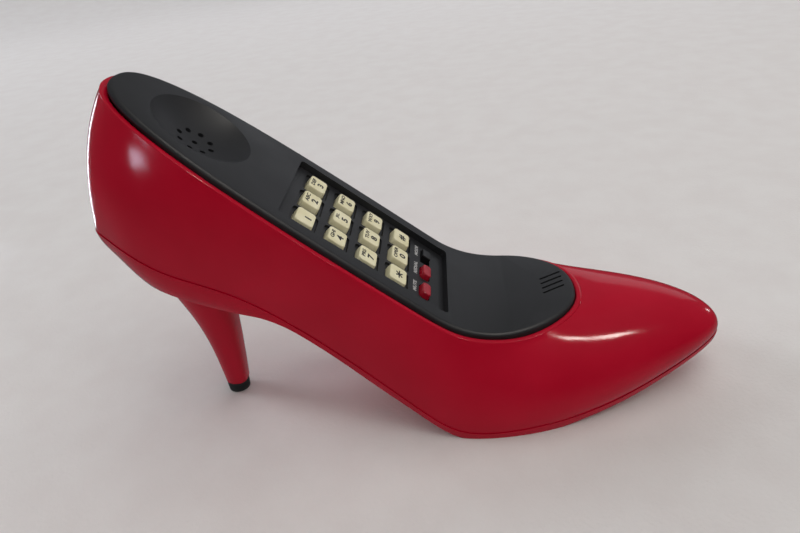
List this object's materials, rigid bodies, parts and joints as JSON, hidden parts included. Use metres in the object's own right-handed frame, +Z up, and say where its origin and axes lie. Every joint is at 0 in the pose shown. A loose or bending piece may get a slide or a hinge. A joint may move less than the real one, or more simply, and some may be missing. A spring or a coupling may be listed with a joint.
{
  "type": "novelty shaped telephone",
  "caption": "Push-button telephone shaped like a high-heeled court shoe: glossy red shell, black faceplate with ear dish, key recess and mouthpiece slots, and a hook plunger in the sole.",
  "frame": {"origin": "Middle of the overall box in X and Y, on the floor plane the shoe stands on.", "axes": "+X from heel to toe, +Y across the shoe away from the pictured side, +Z up."},
  "size_m": [0.238, 0.0786, 0.137],
  "materials": {
    "red_shell": "glossy, smooth",
    "black_plate": "fine matt texture",
    "black_tip": "matt, hard",
    "cream_key": "satin",
    "crimson_button": "satin gloss",
    "black_knob": "satin",
    "black_moulding": "satin",
    "grey_rubber": "matt",
    "green_board": "lacquered",
    "steel": "plain zinc plate",
    "bright_can": "satin",
    "brass": "bright"
  },
  "bodies": {
    "housing": {"upper_shell": "red_shell", "sole": "red_shell", "heel_column": "red_shell", "faceplate": "black_plate", "heel_tip": "black_tip", "mode_switch": "black_moulding", "dialler_chip": "black_moulding", "speech_chip": "black_moulding", "hook_switch": "black_moulding", "line_jack": "black_moulding", "jack_bracket": "black_moulding", "key_mat": "grey_rubber", "receiver_gasket": "grey_rubber", "mic_boot": "grey_rubber", "keypad_board": "green_board", "main_board": "green_board", "keypad_screws": "steel", "clamp_screws": "steel", "board_screws": "steel", "sole_screws": "steel", "heel_screw": "steel", "receiver_clamp": "steel", "hook_spring": "steel", "line_transformer": "steel", "receiver": "bright_can", "microphone": "bright_can", "capacitors": "bright_can", "jack_contacts": "brass", "ringer": "brass"},
    "key_1_body": {"key_1": "cream_key"},
    "key_2_body": {"key_2": "cream_key"},
    "key_3_body": {"key_3": "cream_key"},
    "key_4_body": {"key_4": "cream_key"},
    "key_5_body": {"key_5": "cream_key"},
    "key_6_body": {"key_6": "cream_key"},
    "key_7_body": {"key_7": "cream_key"},
    "key_8_body": {"key_8": "cream_key"},
    "key_9_body": {"key_9": "cream_key"},
    "key_star_body": {"key_star": "cream_key"},
    "key_0_body": {"key_0": "cream_key"},
    "key_hash_body": {"key_hash": "cream_key"},
    "redial_button_body": {"redial_button": "crimson_button"},
    "mute_button_body": {"mute_button": "crimson_button"},
    "mode_slider_body": {"mode_slider": "black_knob"},
    "hook_plunger_body": {"hook_plunger": "black_moulding"}
  },
  "joints": [
    {"name": "key_1_press", "type": "slide", "parent": "housing", "child": "key_1_body", "axis": [-0.6521, 0, -0.7581], "range_m": [0, 0.0015], "stiffness_N_per_m": 300, "springref_m": -0.0006},
    {"name": "key_2_press", "type": "slide", "parent": "housing", "child": "key_2_body", "axis": [-0.6521, 0, -0.7581], "range_m": [0, 0.0015], "stiffness_N_per_m": 300, "springref_m": -0.0006},
    {"name": "key_3_press", "type": "slide", "parent": "housing", "child": "key_3_body", "axis": [-0.6521, 0, -0.7581], "range_m": [0, 0.0015], "stiffness_N_per_m": 300, "springref_m": -0.0006},
    {"name": "key_4_press", "type": "slide", "parent": "housing", "child": "key_4_body", "axis": [-0.6521, 0, -0.7581], "range_m": [0, 0.0015], "stiffness_N_per_m": 300, "springref_m": -0.0006},
    {"name": "key_5_press", "type": "slide", "parent": "housing", "child": "key_5_body", "axis": [-0.6521, 0, -0.7581], "range_m": [0, 0.0015], "stiffness_N_per_m": 300, "springref_m": -0.0006},
    {"name": "key_6_press", "type": "slide", "parent": "housing", "child": "key_6_body", "axis": [-0.6521, 0, -0.7581], "range_m": [0, 0.0015], "stiffness_N_per_m": 300, "springref_m": -0.0006},
    {"name": "key_7_press", "type": "slide", "parent": "housing", "child": "key_7_body", "axis": [-0.6521, 0, -0.7581], "range_m": [0, 0.0015], "stiffness_N_per_m": 300, "springref_m": -0.0006},
    {"name": "key_8_press", "type": "slide", "parent": "housing", "child": "key_8_body", "axis": [-0.6521, 0, -0.7581], "range_m": [0, 0.0015], "stiffness_N_per_m": 300, "springref_m": -0.0006},
    {"name": "key_9_press", "type": "slide", "parent": "housing", "child": "key_9_body", "axis": [-0.6521, 0, -0.7581], "range_m": [0, 0.0015], "stiffness_N_per_m": 300, "springref_m": -0.0006},
    {"name": "key_star_press", "type": "slide", "parent": "housing", "child": "key_star_body", "axis": [-0.6521, 0, -0.7581], "range_m": [0, 0.0015], "stiffness_N_per_m": 300, "springref_m": -0.0006},
    {"name": "key_0_press", "type": "slide", "parent": "housing", "child": "key_0_body", "axis": [-0.6521, 0, -0.7581], "range_m": [0, 0.0015], "stiffness_N_per_m": 300, "springref_m": -0.0006},
    {"name": "key_hash_press", "type": "slide", "parent": "housing", "child": "key_hash_body", "axis": [-0.6521, 0, -0.7581], "range_m": [0, 0.0015], "stiffness_N_per_m": 300, "springref_m": -0.0006},
    {"name": "redial_button_press", "type": "slide", "parent": "housing", "child": "redial_button_body", "axis": [-0.6521, 0, -0.7581], "range_m": [0, 0.0012], "stiffness_N_per_m": 300, "springref_m": -0.0006},
    {"name": "mute_button_press", "type": "slide", "parent": "housing", "child": "mute_button_body", "axis": [-0.6521, 0, -0.7581], "range_m": [0, 0.0012], "stiffness_N_per_m": 300, "springref_m": -0.0006},
    {"name": "mode_slide", "type": "slide", "parent": "housing", "child": "mode_slider_body", "axis": [0, -1, 0], "range_m": [0, 0.0034]},
    {"name": "hook_press", "type": "slide", "parent": "housing", "child": "hook_plunger_body", "axis": [0, 0, -1], "range_m": [0, 0.003], "stiffness_N_per_m": 150, "springref_m": 0.004, "deforming": ["hook_spring"]}
  ]
}
